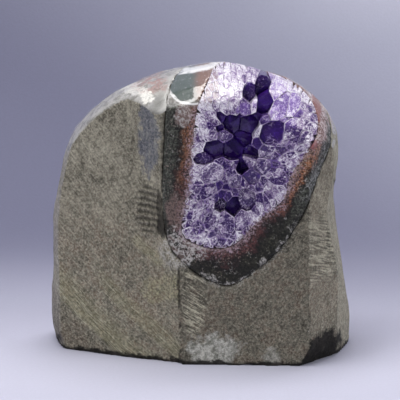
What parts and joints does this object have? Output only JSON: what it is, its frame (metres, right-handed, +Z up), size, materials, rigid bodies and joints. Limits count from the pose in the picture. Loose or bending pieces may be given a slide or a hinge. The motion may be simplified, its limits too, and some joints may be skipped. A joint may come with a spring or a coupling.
{
  "type": "amethyst geode",
  "caption": "Amethyst geode in basalt, sawn and polished in front, with a hollow lined by purple quartz points; stands on a sawn base as an ornament.",
  "frame": {"origin": "middle of the part's bounding box in plan, at the height of the sawn base", "axes": "+X to the right as seen from the polished front, +Y to the rough back, +Z up"},
  "size_m": [0.113, 0.0654, 0.1064],
  "materials": {
    "basalt": "sawn faces, matt, with a smooth ground dome",
    "agate": "polished, banded brown, red and near black",
    "amethyst": "clear purple quartz, polished flush in front, natural faces in the pockets"
  },
  "bodies": {
    "root": {"basalt_block": "basalt", "agate_rind": "agate", "amethyst_crystals": "amethyst"}
  },
  "joints": []
}
